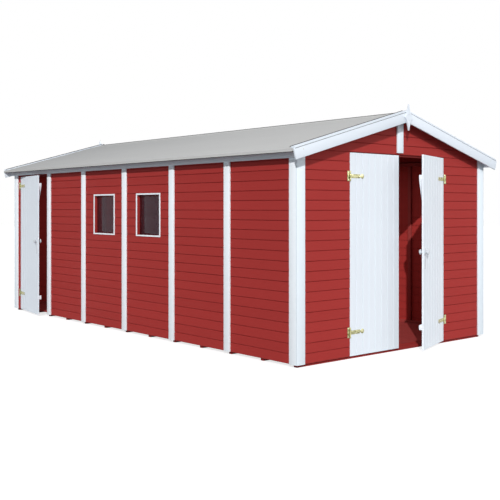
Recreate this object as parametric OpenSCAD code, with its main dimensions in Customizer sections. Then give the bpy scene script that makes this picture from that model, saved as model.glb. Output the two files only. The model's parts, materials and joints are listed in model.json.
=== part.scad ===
// Timber storage shed: boarded walls on a joisted floor under a felted gable roof,
// with double doors in the front gable and a single door near the rear of one long side.
// The origin is on the ground at the middle of the floor plan. The front gable faces +X,
// the side with the windows faces -Y and +Z is up. Lengths are millimetres.

/* [Walls] */
// Length of the walls over their outer board faces
wall_length = 5932; // [5200:2:7200]
// Width of the walls over their outer board faces
wall_width = 2958; // [2650:2:3600]
// Height of the long walls above the ground at their outer face
wall_height = 2048; // [2040:1:2500]
// Height of the lowest wall board above the ground
wall_base = 28; // [20:1:40]
// Thickness of the wall boards
board_t = 16; // [12:1:22]
// Depth of the wall frames behind the boards
stud_depth = 28; // [24:1:60]
// Width of one frame timber
stud_width = 45; // [35:1:55]

/* [Floor] */
// Number of joists under the floor, with one at the middle
joist_count = 13; // [9:2:17]
// Width of one joist
joist_width = 45; // [35:1:70]
// Height of the joists
joist_height = 45; // [42:1:70]
// Thickness of the floor boards
floor_t = 16; // [12:1:28]
// Distance from the outer board face in to the joist ends
joist_recess = 24; // [22:1:30]

/* [Front doorway] */
// Width of the opening in the front gable
front_door_width = 1520; // [1200:2:1900]
// Height of the front door leaves
front_door_height = 2006; // [1700:1:2006]
// Angle that the right leaf stands open at rest
right_leaf_open = 20.8; // [0:0.1:60]

/* [Side doorway] */
// Width of the opening in the long wall
side_door_width = 848; // [600:2:900]
// Height of the side door leaf
side_door_height = 1906; // [1700:1:1906]
// Distance from the rear end of the long wall to the opening
side_door_inset = 155; // [140:1:240]
// Angle that the side door stands open at rest
side_door_open = 9.5; // [0:0.1:60]

/* [Door leaves] */
// Thickness of the door boards
leaf_t = 16; // [12:1:20]
// Height of the leaves' lower edge above the ground
leaf_bottom = 30; // [24:1:40]
// Gap beside and between the leaves
leaf_gap = 6; // [6:0.5:10]
// Gap above the leaves
leaf_head_gap = 8; // [6:0.5:12]
// Height of a ledge across the back of a leaf
ledge_width = 50; // [40:1:110]
// Thickness of the ledges and the brace
ledge_t = 32; // [16:1:34]
// Width of the diagonal brace
brace_width = 50; // [40:1:90]

/* [Hinges] */
// Height of the lower hinges above the ground
hinge_low = 263; // [180:1:400]
// Height of the upper hinges above the ground
hinge_high = 1804; // [1450:1:1820]
// Height of the wall plate of a hinge
hinge_plate_height = 100; // [80:1:140]
// Width of the wall plate of a hinge
hinge_plate_width = 30; // [24:1:40]
// Length of the strap along the leaf
strap_length = 206; // [140:1:300]
// Width of the strap
strap_width = 38; // [28:1:50]
// Thickness of the hinge plates
hinge_t = 3; // [2:0.5:4]
// Radius of the hinge pins
pin_r = 4; // [3:0.5:5]

/* [Locks] */
// Height of the door knobs above the ground
knob_height = 1036; // [900:1:1250]
// Diameter of the door knobs
knob_d = 56; // [45:1:70]
// Distance from a leaf's free edge to the middle of its lock
lock_backset = 60; // [50:1:90]
// Length of the lock plates
lock_plate_length = 215; // [150:1:240]
// Width of the lock plates
lock_plate_width = 40; // [30:1:60]

/* [Windows] */
// Width of each window
window_width = 496; // [360:2:620]
// Distance of the windows from the middle of their panels, towards the front
window_shift = 12; // [0:1:30]
// Height of each window
window_height = 500; // [360:2:620]
// Height of the windows' lower edge above the ground
window_sill = 1159; // [700:1:1300]
// Width of the window frames' members
window_bead = 17; // [14:1:40]
// Thickness of the glass
glass_t = 4; // [3:0.5:8]

/* [Roof] */
// Pitch of the roof in degrees
roof_pitch = 15.6; // [13:0.1:20]
// Thickness of the roof boards
roof_board_t = 16; // [12:1:22]
// Thickness of the roof felt
felt_t = 4; // [2:0.5:6]
// Overhang of the roof beyond the long walls
eave_overhang = 141; // [110:1:240]
// Overhang of the roof boards beyond the gable walls
gable_overhang = 92; // [60:1:200]
// Width of a purlin
purlin_width = 45; // [35:1:60]
// Depth of a purlin
purlin_depth = 120; // [80:1:150]

/* [Trim] */
// Thickness of the upright trim boards
trim_t = 16; // [12:1:22]
// Width of the battens over the panel joints
batten_width = 95; // [70:1:120]
// Width of the corner trims as seen on each wall
corner_width = 108; // [80:1:130]
// Thickness of the bargeboards
barge_t = 18; // [14:1:28]
// Width of the bargeboards
barge_width = 103; // [85:1:140]
// Thickness of the boards that cap the rakes
cap_t = 18; // [12:1:22]
// Width of the boards that cap the rakes
cap_width = 60; // [40:1:120]
// Distance that the caps stop short of the eaves
cap_setback = 12; // [5:1:80]
// Thickness of the boards under the eaves
eave_board_t = 24; // [16:1:28]
// Height of the boards under the eaves
eave_board_height = 80; // [60:1:90]
// Thickness of the square strip under the edge of the roof boards
eave_strip = 15; // [10:1:24]
// Width of the gable finials
finial_width = 120; // [90:1:160]
// Height of the gable finials
finial_height = 275; // [200:1:320]

/* [Hidden] */
// Names of the separate pieces

$fn = 48;
// Hairline between solids that meet without being joined
hair = 0.5;
// Hairline under sloping faces that bear on each other
seat = 0.1;
half_l = wall_length / 2;
half_w = wall_width / 2;
wall_t = board_t + stud_depth;
floor_z = joist_height + floor_t;
board_rise = roof_board_t / cos(roof_pitch);
felt_rise = felt_t / cos(roof_pitch);

// Panels of the long walls, counted from the front
panel_count = 6;
panel = (wall_length - 2 * wall_t) / panel_count;
window_panels = [3, 4];

// Doorway edges
front_jamb = front_door_width / 2;
front_head = leaf_bottom + front_door_height + leaf_head_gap;
side_head = leaf_bottom + side_door_height + leaf_head_gap;
side_hinge_x = -half_l + side_door_inset;
side_latch_x = side_hinge_x + side_door_width;

// Battens on the window side: on each panel joint, with the last one beside the doorway
function joint_x(i) = half_l - wall_t - i * panel;
function batten_x(i) = i < 5 ? joint_x(i) : side_latch_x + batten_width / 2;

// Hinges: the pins stand clear of the wall face
knuckle_r = pin_r + 3;
pin_out = knuckle_r + 1;
pin_clear = 0.3;
stop_clear = 6;
// Distances that the ledges stop short of a leaf's hinged edge and free edge
leaf_bite = 30;
free_bite = 10;
// Depth of the beam over the front doorway, and how far a head stop hangs below the head
beam_depth = 50;
stop_drop = 20;
// Height of the foot of the front gable batten above the joint of the gable boards
batten_rise = 16;

// Height of the roof boards' underside at a distance y from the middle
function roof_z(y) = wall_height + (half_w - abs(y)) * tan(roof_pitch);

// A block between two opposite corners
module block(low, high) {
    translate(low) cube(high - low);
}

// An outline in Y and Z drawn out along X
module along_x(x0, x1) {
    translate([x0, 0, 0]) rotate([90, 0, 90]) linear_extrude(x1 - x0) children();
}

// The wall outline under the roof boards, lowered by drop
module under_roof(y0, y1, z0, drop = seat) {
    ridge = y0 < 0 && y1 > 0 ? [[0, roof_z(0) - drop]] : [];
    polygon(concat([[y0, z0], [y1, z0], [y1, roof_z(y1) - drop]], ridge,
        [[y0, roof_z(y0) - drop]]));
}

// A sloping layer on one side of the roof, from height low to height high above the boards
module roof_layer(side, x0, x1, low, high, y_in = hair / 2, y_out = half_w + eave_overhang) {
    along_x(x0, x1) polygon([[side * y_in, roof_z(y_in) + low], [side * y_out, roof_z(y_out) + low],
        [side * y_out, roof_z(y_out) + high], [side * y_in, roof_z(y_in) + high]]);
}

// An upright timber on one wall, centred at x and standing behind the boards of that side
module side_stud(side, x, z0, z1, width = stud_width) {
    inner = half_w - wall_t;
    block([x - width / 2, side > 0 ? inner : -inner - stud_depth, z0],
        [x + width / 2, side > 0 ? inner + stud_depth : -inner, z1]);
}

/* ---- Floor ---- */

function joist_x(i) = i == 0 ? -half_l + joist_recess + joist_width / 2
    : i == joist_count - 1 ? half_l - joist_recess - joist_width / 2
    : -half_l + joist_width / 2 + i * (wall_length - joist_width) / (joist_count - 1);

module floor_joists() {
    reach = half_w - joist_recess;
    color("firebrick") for (i = [0 : joist_count - 1])
        block([joist_x(i) - joist_width / 2, -reach, 0],
            [joist_x(i) + joist_width / 2, reach, joist_height]);
}

module floor_deck() {
    x = half_l - wall_t - hair;
    y = half_w - wall_t - hair;
    color("indianred") block([-x, -y, joist_height], [x, y, floor_z]);
}

module door_sills() {
    color("firebrick") {
        block([half_l - wall_t, -front_jamb + hair, joist_height],
            [half_l - leaf_t - stop_clear, front_jamb - hair, floor_z]);
        block([side_hinge_x + hair, -half_w + leaf_t + stop_clear, joist_height],
            [side_latch_x - hair, -half_w + wall_t, floor_z]);
    }
}

/* ---- Boarded walls ---- */

module front_boards(y0, y1, z0, z1) {
    along_x(half_l - board_t, half_l) intersection() {
        under_roof(-half_w, half_w, wall_base);
        translate([y0, z0]) square([y1 - y0, z1 - z0]);
    }
}

module front_wall_left() {
    color("firebrick") front_boards(-half_w, -front_jamb, wall_base, front_head - hair);
}

module front_wall_right() {
    color("firebrick") front_boards(front_jamb, half_w, wall_base, front_head - hair);
}

module front_gable() {
    color("firebrick") front_boards(-half_w, half_w, front_head, roof_z(0));
}

module rear_wall() {
    color("firebrick") along_x(-half_l, -half_l + board_t) under_roof(-half_w, half_w, wall_base);
}

// Boards of one long wall between two places along it
module side_boards(side, x0, x1, z0 = wall_base, z1 = wall_height) {
    face = side * half_w;
    block([x0, min(face, face - side * board_t), z0], [x1, max(face, face - side * board_t), z1]);
}

// Ends of panel i on the window side, counted from the front
function panel_front(i) = i == 1 ? half_l - board_t - hair : batten_x(i - 1) - hair / 2;
function panel_rear(i) = i == panel_count ? -half_l + board_t + hair : batten_x(i) + hair / 2;
function window_x(i) = (batten_x(i - 1) + batten_x(i)) / 2 + window_shift;

module window_side_front_panels() {
    color("firebrick") for (i = [1 : 2]) side_boards(-1, panel_rear(i), panel_front(i));
}

// A panel boarded below, above and on both sides of its window
module window_panel(i) {
    left = window_x(i) - window_width / 2;
    right = window_x(i) + window_width / 2;
    head = window_sill + window_height;
    side_boards(-1, panel_rear(i), panel_front(i), wall_base, window_sill - hair);
    side_boards(-1, panel_rear(i), panel_front(i), head + hair, wall_height);
    side_boards(-1, panel_rear(i), left, window_sill, head);
    side_boards(-1, right, panel_front(i), window_sill, head);
}

module front_window_panel() {
    color("firebrick") window_panel(window_panels[0]);
}

module rear_window_panel() {
    color("firebrick") window_panel(window_panels[1]);
}

module window_side_rear_panel() {
    color("firebrick") side_boards(-1, panel_rear(5), panel_front(5));
}

module side_door_panel() {
    color("firebrick") {
        side_boards(-1, side_latch_x, panel_front(panel_count));
        side_boards(-1, panel_rear(panel_count), side_hinge_x);
    }
}

module side_door_lintel() {
    color("firebrick")
        side_boards(-1, side_hinge_x + hair, side_latch_x - hair, side_head, wall_height);
}

module back_side_panels() {
    end = half_l - board_t - hair;
    color("firebrick") for (i = [1 : panel_count])
        side_boards(1, i == panel_count ? -end : joint_x(i) + hair / 2,
            i == 1 ? end : joint_x(i - 1) - hair / 2);
}

/* ---- Wall frames ---- */

// Foot of the studs, on the bottom plates, and depth of the plates under the roof
stud_foot = joist_height + stud_width + hair;
plate_drop = stud_width / cos(roof_pitch);

// A gable frame timber between y0 and y1, from z0 up to the sloping top plate
module gable_stud(x0, y0, y1, z0) {
    along_x(x0, x0 + stud_depth) under_roof(y0, y1, z0, plate_drop + hair);
}

// The two sloping plates that carry the roof boards along a gable
module gable_plates(x0) {
    y_out = half_w - board_t;
    for (side = [-1, 1])
        roof_layer(side, x0, x0 + stud_depth, -plate_drop, -seat, hair / 2, y_out);
}

module front_frame() {
    x0 = half_l - wall_t;
    x1 = x0 + stud_depth;
    corner = half_w - board_t;
    beam_z = front_head + stop_clear;
    beam_top = beam_z + beam_depth;
    color("brown") {
        gable_plates(x0);
        for (side = [-1, 1]) mirror([0, side < 0 ? 1 : 0, 0]) {
            block([x0, front_jamb, joist_height], [x1, corner, stud_foot - hair]);
            gable_stud(x0, corner - stud_width, corner, stud_foot);
            gable_stud(x0, (front_jamb + corner) / 2 - stud_width / 2,
                (front_jamb + corner) / 2 + stud_width / 2, stud_foot);
            block([x0, front_jamb, stud_foot], [x1, front_jamb + stud_width, beam_z - hair]);
        }
        // Beam over the doorway, the stop under it and the post up to the ridge
        block([x0, -front_jamb - stud_width, beam_z], [x1, front_jamb + stud_width, beam_top]);
        block([x0, -front_jamb + hair, front_head - stop_drop],
            [half_l - leaf_t - stop_clear, front_jamb - hair, beam_z - hair]);
        gable_stud(x0, -stud_width / 2, stud_width / 2, beam_top + hair);
    }
}

module rear_frame() {
    x0 = -half_l + board_t;
    corner = half_w - board_t;
    pitch = (2 * corner - stud_width) / 4;
    color("brown") {
        gable_plates(x0);
        block([x0, -corner, joist_height], [x0 + stud_depth, corner, stud_foot - hair]);
        for (i = [0 : 4])
            gable_stud(x0, -corner + i * pitch, -corner + i * pitch + stud_width, stud_foot);
    }
}

// Plates and studs that both long walls share
wall_end = half_l - wall_t - hair;
top_plate_z = wall_height - stud_width;

module side_plate(side, x0, x1, z0) {
    side_stud(side, (x0 + x1) / 2, z0, z0 + stud_width - hair, x1 - x0);
}

module side_studs(side, places) {
    for (x = places) side_stud(side, x, stud_foot, top_plate_z - hair);
}

// Studs at both sides of an opening and the rail over it
module opening_studs(x0, x1, head) {
    for (x = [x0 - stud_width / 2, x1 + stud_width / 2])
        side_stud(-1, x, stud_foot, top_plate_z - hair);
    side_stud(-1, (x0 + x1) / 2, head, min(head + stud_width, top_plate_z - hair),
        x1 - x0 - 2 * hair);
}

module window_side_frame() {
    end = wall_end - stud_width / 2;
    color("brown") {
        side_plate(-1, -wall_end, wall_end, top_plate_z);
        side_plate(-1, side_latch_x, wall_end, joist_height);
        side_plate(-1, -wall_end, side_hinge_x, joist_height);
        side_studs(-1, concat([end, -end, joint_x(0.5), joint_x(1.5), joint_x(4.4)],
            [for (i = [1 : 4]) batten_x(i)]));
        for (i = window_panels) {
            opening_studs(window_x(i) - window_width / 2, window_x(i) + window_width / 2,
                window_sill + window_height);
            side_stud(-1, window_x(i), window_sill - stud_width, window_sill,
                window_width - 2 * hair);
        }
        opening_studs(side_hinge_x, side_latch_x, side_head + stop_clear);
        // Stop behind the head of the side door
        block([side_hinge_x + hair, -half_w + leaf_t + stop_clear, side_head - stop_drop],
            [side_latch_x - hair, -half_w + wall_t, side_head + stop_clear - hair]);
    }
}

module back_side_frame() {
    end = wall_end - stud_width / 2;
    color("brown") {
        side_plate(1, -wall_end, wall_end, top_plate_z);
        side_plate(1, -wall_end, wall_end, joist_height);
        side_studs(1, concat([end, -end], [for (i = [0.5 : 0.5 : 5.5]) joint_x(i)]));
    }
}

/* ---- Trim ---- */

// Trim on the gable walls covers the ends of the trim on the long walls
module gable_corner_trims() {
    color("white") for (end = [-1, 1], side = [-1, 1])
        mirror([end < 0 ? 1 : 0, 0, 0])
            along_x(half_l, half_l + trim_t) intersection() {
                under_roof(-half_w - trim_t, half_w + trim_t, wall_base, hair);
                translate([side < 0 ? -half_w - trim_t : half_w + trim_t - corner_width, wall_base])
                    square([corner_width, wall_height]);
            }
}

// An upright trim board on a long wall, up to the roof boards
module side_trim(side, x, width) {
    face = side * half_w;
    block([x - width / 2, min(face, face + side * trim_t), wall_base],
        [x + width / 2, max(face, face + side * trim_t), roof_z(half_w + trim_t) - hair]);
}

module side_corner_trims() {
    width = corner_width - trim_t - hair;
    color("white") for (end = [-1, 1], side = [-1, 1])
        side_trim(side, end * (half_l - hair - width / 2), width);
}

module window_side_battens() {
    color("white") for (i = [1 : 5]) side_trim(-1, batten_x(i), batten_width);
}

module back_side_battens() {
    color("white") for (i = [1 : 5]) side_trim(1, joint_x(i), batten_width);
}

module gable_battens() {
    color("white") {
        along_x(half_l, half_l + trim_t)
            under_roof(-batten_width / 2, batten_width / 2, front_head + batten_rise, hair);
        along_x(-half_l - trim_t, -half_l)
            under_roof(-batten_width / 2, batten_width / 2, wall_base, hair);
    }
}

module eave_boards() {
    x = half_l + gable_overhang - hair;
    y_in = half_w + trim_t;
    top = roof_z(y_in + eave_board_t) - hair;
    color("white") for (side = [-1, 1])
        block([-x, side > 0 ? y_in : -y_in - eave_board_t, top - eave_board_height],
            [x, side > 0 ? y_in + eave_board_t : -y_in, top]);
    // Square strips under the outer edges of the roof boards
    y_out = half_w + eave_overhang;
    strip_top = roof_z(y_out) - hair;
    color("white") for (side = [-1, 1])
        block([-x, side > 0 ? y_out - eave_strip : -y_out, strip_top - eave_strip],
            [x, side > 0 ? y_out : -y_out + eave_strip, strip_top]);
}

/* ---- Roof ---- */

roof_end = half_l + gable_overhang;
felt_top = board_rise + felt_rise;

module window_side_roof_boards() {
    color("burlywood") roof_layer(-1, -roof_end, roof_end, 0, board_rise);
}

module back_side_roof_boards() {
    color("burlywood") roof_layer(1, -roof_end, roof_end, 0, board_rise);
}

module window_side_felt() {
    color("darkgray") roof_layer(-1, -roof_end, roof_end, board_rise, felt_top);
}

module back_side_felt() {
    color("darkgray") roof_layer(1, -roof_end, roof_end, board_rise, felt_top);
}

// A ridge beam and a purlin halfway down each slope, between the gable frames
module roof_purlins() {
    color("brown") for (y = [-half_w / 2, 0, half_w / 2]) {
        low = y - purlin_width / 2;
        high = y + purlin_width / 2;
        along_x(-wall_end, wall_end)
            under_roof(low, high, roof_z(abs(y) + purlin_width / 2) - purlin_depth, hair);
    }
}

// A bargeboard pair: square to the slope at the eaves and mitred at the ridge
module bargeboards(x0) {
    y_top = half_w + eave_overhang;
    drop = barge_width * cos(roof_pitch);
    y_low = y_top - barge_width * sin(roof_pitch);
    y_in = hair / 2;
    for (side = [-1, 1])
        along_x(x0, x0 + barge_t) polygon([
            [side * y_in, roof_z(y_in) + felt_top],
            [side * y_top, roof_z(y_top) + felt_top],
            [side * y_low, roof_z(y_top) + felt_top - drop],
            [side * y_in, roof_z(y_in) + felt_top - barge_width / cos(roof_pitch)]]);
}

module front_bargeboards() {
    color("white") bargeboards(roof_end);
}

module rear_bargeboards() {
    color("white") bargeboards(-roof_end - barge_t);
}

// Boards laid flat over the felt and the bargeboards along the rakes
module rake_caps(x0) {
    cap_rise = cap_t / cos(roof_pitch);
    for (side = [-1, 1])
        roof_layer(side, x0, x0 + cap_width, felt_top + seat, felt_top + cap_rise, hair / 2,
            half_w + eave_overhang - cap_setback * cos(roof_pitch));
}

module front_rake_caps() {
    color("white") rake_caps(roof_end + barge_t - cap_width);
}

module rear_rake_caps() {
    color("white") rake_caps(-roof_end - barge_t);
}

// Diamond boards over the joint of the bargeboards, a little below its middle
finial_drop = 7;

module finials() {
    middle = roof_z(0) + felt_top - barge_width / 2 - finial_drop;
    half = finial_height / 2;
    color("white") for (x = [roof_end + barge_t, -roof_end - 2 * barge_t])
        along_x(x, x + barge_t) polygon([[0, middle - half], [finial_width / 2, middle],
            [0, middle + half], [-finial_width / 2, middle]]);
}

/* ---- Windows ---- */

// How far the frames stand out from the boards
window_depth = 8;

// A block in the opening of window panel i, between two corners across and up from its middle
module in_window(i, low, high, y0, y1) {
    middle = window_sill + window_height / 2;
    block([window_x(i) + low[0], -y1, middle + low[1]], [window_x(i) + high[0], -y0,
        middle + high[1]]);
}

// Rails over the full width with stiles between them, as deep as the wall
module window_frames() {
    w = window_width / 2 - hair;
    h = window_height / 2 - hair;
    inner = h - window_bead;
    y0 = half_w - wall_t;
    y1 = half_w + window_depth;
    color("white") for (i = window_panels) {
        in_window(i, [-w, -h], [w, -inner], y0, y1);
        in_window(i, [-w, inner], [w, h], y0, y1);
        in_window(i, [-w, hair - inner], [window_bead - w, inner - hair], y0, y1);
        in_window(i, [w - window_bead, hair - inner], [w, inner - hair], y0, y1);
    }
}

// Panes inside the frames, near their inner faces
module window_glass() {
    w = window_width / 2 - window_bead - 2 * hair;
    h = window_height / 2 - window_bead - 2 * hair;
    glass_y = half_w - wall_t + 2 * glass_t;
    color("slategray") for (i = window_panels)
        in_window(i, [-w, -h], [w, h], glass_y - glass_t, glass_y);
}

/* ---- Hinges ---- */

hinge_heights = [hinge_low, hinge_high];
strap_knuckle = strap_width;

// The wall half of a hinge, with its plate to the left of the pin at the origin, facing -Y
module wall_hinge() {
    half = hinge_plate_height / 2;
    gap = strap_knuckle / 2 + pin_clear;
    block([-hinge_plate_width - knuckle_r + 2, pin_out - hinge_t, -half],
        [-knuckle_r + 2, pin_out, half]);
    for (side = [-1, 1])
        translate([0, 0, side > 0 ? gap : -half]) cylinder(h = half - gap, r = knuckle_r);
    translate([0, 0, -half]) cylinder(h = 2 * half, r = pin_r);
    for (side = [-1, 1])
        block([-knuckle_r, pin_out - hinge_t, side > 0 ? gap : -half],
            [0, pin_out, side > 0 ? half : -gap]);
}

// The strap half: a knuckle round the pin and a strap along +X with a waist and a round end
module strap_hinge() {
    eye_r = 23;
    neck = 18;
    neck_length = 14;
    body_end = strap_length - 2 * eye_r - neck_length;
    difference() {
        union() {
            translate([0, 0, -strap_knuckle / 2]) cylinder(h = strap_knuckle, r = knuckle_r);
            block([0, pin_out - hinge_t, -strap_width / 2],
                [body_end, pin_out, strap_width / 2]);
            block([body_end - 1, pin_out - hinge_t, -neck / 2],
                [strap_length - eye_r, pin_out, neck / 2]);
            translate([strap_length - eye_r, pin_out, 0]) rotate([90, 0, 0])
                cylinder(h = hinge_t, r = eye_r);
        }
        translate([0, 0, -strap_knuckle]) cylinder(h = 2 * strap_knuckle, r = pin_r + pin_clear);
    }
}

/* ---- Door leaves ---- */

// Pins stand at the origin of each door's own frame: the leaf runs along +X and faces -Y,
// with the wall face at y = pin_out
front_leaf_width = (front_door_width - 3 * leaf_gap) / 2;
side_leaf_width = side_door_width - 2 * leaf_gap;

module place_left(angle = 0) {
    translate([half_l + pin_out, -front_jamb, 0]) rotate([0, 0, 90 - angle]) children();
}

module place_right(angle = 0) {
    translate([half_l + pin_out, front_jamb, 0]) rotate([0, 0, 90 + angle])
        mirror([1, 0, 0]) children();
}

module place_side(angle = 0) {
    translate([side_hinge_x, -half_w - pin_out, 0]) rotate([0, 0, -angle]) children();
}

module leaf_boards(width, height) {
    block([leaf_gap, pin_out, leaf_bottom], [leaf_gap + width, pin_out + leaf_t,
        leaf_bottom + height]);
}

// Two ledges behind the hinges and a brace that rises from the lower hinge
module leaf_ledges(width) {
    y0 = pin_out + leaf_t;
    x0 = leaf_gap + leaf_bite;
    x1 = leaf_gap + width - free_bite;
    low = hinge_low + ledge_width / 2 + hair;
    high = hinge_high - ledge_width / 2 - hair;
    for (z = hinge_heights)
        block([x0, y0, z - ledge_width / 2], [x1, y0 + ledge_t, z + ledge_width / 2]);
    run = sqrt(pow(x1 - x0, 2) + pow(high - low, 2));
    foot = brace_width * run / (high - low);
    translate([0, y0 + ledge_t, 0]) rotate([90, 0, 0]) linear_extrude(ledge_t)
        polygon([[x0, low], [x0 + foot, low], [x1, high], [x1 - foot, high]]);
}

module leaf_straps() {
    for (z = hinge_heights) translate([0, 0, z]) strap_hinge();
}

// A long plate and a round knob on each face of the leaf
module leaf_lock(width) {
    x = leaf_gap + width - lock_backset;
    plate_t = 3;
    plate_top = 40;
    rose_r = 22;
    neck_r = 9;
    rim = knob_d / 2;
    edge = 6;
    knob_out = 45;
    for (face = [-1, 1])
        translate([x, face < 0 ? pin_out : pin_out + leaf_t, knob_height])
            mirror([0, face < 0 ? 0 : 1, 0]) {
                block([-lock_plate_width / 2, -plate_t, plate_top - lock_plate_length],
                    [lock_plate_width / 2, 0, plate_top]);
                // Profile of the rose, neck and knob, as distances from the knob's axis and the leaf
                rotate([90, 0, 0]) rotate_extrude() polygon([[0, plate_t], [rose_r, plate_t],
                    [rose_r - 2, 8], [neck_r, 10], [neck_r, knob_out - 25],
                    [rim - edge, knob_out - 20], [rim, knob_out - 13], [rim - edge, knob_out - 5],
                    [rim / 2, knob_out - 1], [0, knob_out]]);
            }
}

module hinge_plates() {
    color("darkkhaki") for (z = hinge_heights) {
        place_left() translate([0, 0, z]) wall_hinge();
        place_right() translate([0, 0, z]) wall_hinge();
        place_side() translate([0, 0, z]) wall_hinge();
    }
}

module left_leaf() {
    color("whitesmoke") place_left() leaf_boards(front_leaf_width, front_door_height);
}

module left_ledges() {
    color("whitesmoke") place_left() leaf_ledges(front_leaf_width);
}

module left_straps() {
    color("darkkhaki") place_left() leaf_straps();
}

module right_leaf() {
    color("whitesmoke") place_right(right_leaf_open)
        leaf_boards(front_leaf_width, front_door_height);
}

module right_ledges() {
    color("whitesmoke") place_right(right_leaf_open) leaf_ledges(front_leaf_width);
}

module right_straps() {
    color("darkkhaki") place_right(right_leaf_open) leaf_straps();
}

module right_lock() {
    color("gainsboro") place_right(right_leaf_open) leaf_lock(front_leaf_width);
}

module side_leaf() {
    color("whitesmoke") place_side(side_door_open) leaf_boards(side_leaf_width, side_door_height);
}

module side_ledges() {
    color("whitesmoke") place_side(side_door_open) leaf_ledges(side_leaf_width);
}

module side_straps() {
    color("darkkhaki") place_side(side_door_open) leaf_straps();
}

module side_lock() {
    color("gainsboro") place_side(side_door_open) leaf_lock(side_leaf_width);
}

floor_joists();
floor_deck();
door_sills();
front_wall_left();
front_wall_right();
front_gable();
rear_wall();
window_side_front_panels();
front_window_panel();
rear_window_panel();
window_side_rear_panel();
side_door_panel();
side_door_lintel();
back_side_panels();
front_frame();
rear_frame();
window_side_frame();
back_side_frame();
gable_corner_trims();
side_corner_trims();
window_side_battens();
back_side_battens();
gable_battens();
eave_boards();
window_side_roof_boards();
back_side_roof_boards();
window_side_felt();
back_side_felt();
roof_purlins();
front_bargeboards();
rear_bargeboards();
front_rake_caps();
rear_rake_caps();
finials();
window_frames();
window_glass();
hinge_plates();
left_leaf();
left_ledges();
left_straps();
right_leaf();
right_ledges();
right_straps();
right_lock();
side_leaf();
side_ledges();
side_straps();
side_lock();
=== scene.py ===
"""Looks of a timber storage shed, built round its packed construction frame.

Every visible piece is modelled at its real size in metres: tongued wall boards, bevelled trim,
boarded door leaves with their furniture, a felted roof and the timbers inside.
"""

import json
import logging
import math
from collections.abc import Callable, Iterator, Sequence
from contextlib import contextmanager
from dataclasses import dataclass, field
from enum import Enum

import bmesh
import bpy
from mathutils import Euler, Matrix, Vector

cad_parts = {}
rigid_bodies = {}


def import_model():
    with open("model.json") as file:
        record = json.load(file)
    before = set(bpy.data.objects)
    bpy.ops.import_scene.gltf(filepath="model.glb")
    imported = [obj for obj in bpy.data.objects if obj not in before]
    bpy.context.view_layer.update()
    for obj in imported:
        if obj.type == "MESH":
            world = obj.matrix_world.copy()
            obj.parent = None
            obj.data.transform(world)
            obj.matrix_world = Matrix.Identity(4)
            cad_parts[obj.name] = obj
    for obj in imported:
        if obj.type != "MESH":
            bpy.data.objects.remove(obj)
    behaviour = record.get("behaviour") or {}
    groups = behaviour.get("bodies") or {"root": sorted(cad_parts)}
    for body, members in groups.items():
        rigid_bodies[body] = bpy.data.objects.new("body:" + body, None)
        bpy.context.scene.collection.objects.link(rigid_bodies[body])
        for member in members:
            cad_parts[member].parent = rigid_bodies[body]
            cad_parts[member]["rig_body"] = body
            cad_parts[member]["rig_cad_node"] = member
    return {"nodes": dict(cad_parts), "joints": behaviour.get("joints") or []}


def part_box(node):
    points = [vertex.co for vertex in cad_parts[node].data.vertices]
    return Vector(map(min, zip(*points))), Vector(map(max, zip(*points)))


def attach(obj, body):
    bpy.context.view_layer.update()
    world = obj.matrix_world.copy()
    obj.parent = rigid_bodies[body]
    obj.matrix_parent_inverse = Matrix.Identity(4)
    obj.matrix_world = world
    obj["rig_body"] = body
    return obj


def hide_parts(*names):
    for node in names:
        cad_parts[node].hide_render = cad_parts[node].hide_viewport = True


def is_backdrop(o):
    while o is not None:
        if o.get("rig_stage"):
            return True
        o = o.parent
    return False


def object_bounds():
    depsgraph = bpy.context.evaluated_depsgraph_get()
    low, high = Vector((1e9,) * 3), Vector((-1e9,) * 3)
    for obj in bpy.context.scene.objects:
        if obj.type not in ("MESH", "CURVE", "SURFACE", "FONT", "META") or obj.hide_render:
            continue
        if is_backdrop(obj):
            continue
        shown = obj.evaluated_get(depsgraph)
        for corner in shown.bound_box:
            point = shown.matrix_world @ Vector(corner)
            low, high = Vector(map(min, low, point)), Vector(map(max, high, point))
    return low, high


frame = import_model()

Solid = tuple[Vector, Vector]
Colour = tuple[float, float, float]
Element = bmesh.types.BMVert | bmesh.types.BMEdge | bmesh.types.BMFace
Piece = bpy.types.Object
Socket = bpy.types.NodeSocket

log = logging.getLogger("shed")
EPS = 1e-4
DECK = 0.095
ALONG_X = Vector((1, 0, 0))
ALONG_Y = Vector((0, 1, 0))
UP = Vector((0, 0, 1))
BODY = "shed"


# ---- Workbench: the operators that every piece is made with ----


def only(obj: Piece) -> None:
    """Leave one object selected and active."""
    bpy.ops.object.select_all(action="DESELECT")
    obj.select_set(True)
    bpy.context.view_layer.objects.active = obj


@contextmanager
def editing(obj: Piece, action: str = "DESELECT") -> Iterator[None]:
    """Hold an object in edit mode, with nothing selected or, for SELECT, everything.

    Args:
        obj: The mesh object.
        action: DESELECT or SELECT.
    """
    only(obj)
    bpy.ops.object.mode_set(mode="EDIT")
    bpy.ops.mesh.select_mode(type="FACE")
    bpy.ops.mesh.select_all(action=action)
    try:
        yield
    finally:
        bpy.ops.object.mode_set(mode="OBJECT")


class Part(Enum):
    """What a mesh is made of, as it is picked in edit mode."""

    VERT = "verts"
    EDGE = "edges"
    FACE = "faces"


def pick(obj: Piece, part: Part, test: Callable[[Element], bool]) -> None:
    """Select what passes a test in the mesh in edit mode, and nothing else.

    Args:
        obj: The object in edit mode.
        part: Whether corners, edges or faces are picked.
        test: Says of each of them whether it is picked.
    """
    bpy.ops.mesh.select_mode(type=part.name)
    mesh = bmesh.from_edit_mesh(obj.data)
    mesh.normal_update()
    for element in getattr(mesh, part.value):
        element.select_set(test(element))
    bmesh.update_edit_mesh(obj.data)


def extrude(shift: Vector) -> None:
    """Extrude the selected faces by a shift."""
    bpy.ops.mesh.extrude_region_move(TRANSFORM_OT_translate={"value": tuple(shift)})


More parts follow.
